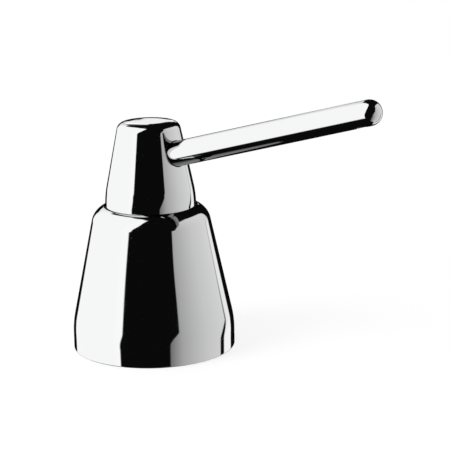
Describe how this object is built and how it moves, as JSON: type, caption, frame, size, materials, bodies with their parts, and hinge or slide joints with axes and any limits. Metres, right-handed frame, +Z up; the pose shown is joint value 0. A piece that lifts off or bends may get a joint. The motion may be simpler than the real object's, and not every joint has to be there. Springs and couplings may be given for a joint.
{
  "type": "sink soap dispenser",
  "caption": "Deck-mounted soap dispenser: chrome conical base, press-down pump head with a straight round spout, threaded shank, nut and screw-on bottle below the deck.",
  "frame": {"origin": "centre of the base's underside, on the dispenser's own axis and on the top face of the deck that holds it", "axes": "+Z up along the dispenser's axis, +X towards the spout's tip, +Y to the left of someone who looks along the spout from the head"},
  "size_m": [0.1225, 0.062, 0.302],
  "materials": {
    "chrome": "polished chrome plate",
    "steel": "stainless steel, fine brushed",
    "black_rubber": "moulded rubber, matt",
    "grey_plastic": "moulded plastic, satin dark grey",
    "white_plastic": "moulded plastic, satin white",
    "clear_plastic": "blow-moulded plastic, translucent"
  },
  "bodies": {
    "base": {"base_bell": "chrome", "base_gasket": "black_rubber", "mounting_shank": "grey_plastic"},
    "clamp": {"deck_washer": "black_rubber", "clamp_ring": "steel"},
    "nut": {"lobed_nut": "grey_plastic"},
    "bottle_ring": {"bottle_seal": "black_rubber"},
    "bottle_body": {"bottle": "clear_plastic"},
    "pump": {"pump_collar": "white_plastic", "collar_o_ring": "black_rubber", "pump_cylinder": "white_plastic", "ball_cage": "white_plastic", "stem_gland": "white_plastic", "return_spring": "steel", "dip_tube": "clear_plastic"},
    "plunger": {"pump_stem": "white_plastic", "piston": "white_plastic", "piston_seal": "black_rubber"},
    "head": {"head_cap": "chrome", "head_core": "white_plastic", "spout": "chrome", "spout_liner": "white_plastic", "outlet_nozzle": "grey_plastic"},
    "inlet_valve": {"inlet_ball": "steel"},
    "outlet_valve": {"outlet_ball": "steel"}
  },
  "joints": [
    {"name": "nut_travel", "type": "slide", "parent": "base", "child": "clamp", "axis": [0, 0, -1], "range_m": [-0.011, 0.028]},
    {"name": "nut_turn", "type": "hinge", "parent": "clamp", "child": "nut", "pos_m": [0, 0, -0.023], "axis": [0, 0, -1], "range_deg": [-1321, 3361]},
    {"name": "bottle_drop", "type": "slide", "parent": "base", "child": "bottle_ring", "axis": [0, 0, -1], "range_m": [0, 0.018]},
    {"name": "bottle_turn", "type": "hinge", "parent": "bottle_ring", "child": "bottle_body", "pos_m": [0, 0, -0.07], "axis": [0, 0, -1], "range_deg": [-1, 2161]},
    {"name": "pump_lift", "type": "slide", "parent": "base", "child": "pump", "axis": [0, 0, 1], "range_m": [0, 0.26]},
    {"name": "head_press", "type": "slide", "parent": "pump", "child": "plunger", "axis": [0, 0, -1], "range_m": [0, 0.012], "stiffness_N_per_m": 700, "springref_m": -0.006, "deforming": ["return_spring"]},
    {"name": "head_swivel", "type": "hinge", "parent": "plunger", "child": "head", "pos_m": [0, 0, 0.0644], "axis": [0, 0, 1], "continuous": true},
    {"name": "inlet_valve_lift", "type": "slide", "parent": "pump", "child": "inlet_valve", "axis": [0, 0, 1], "range_m": [0, 0.002]},
    {"name": "outlet_valve_lift", "type": "slide", "parent": "plunger", "child": "outlet_valve", "axis": [0, 0, 1], "range_m": [0, 0.0013]}
  ],
  "couplings": [
    {"joint": "nut_turn", "follows": "nut_travel", "rad_per_m": 2094.4},
    {"joint": "bottle_turn", "follows": "bottle_drop", "rad_per_m": 2094.4}
  ]
}
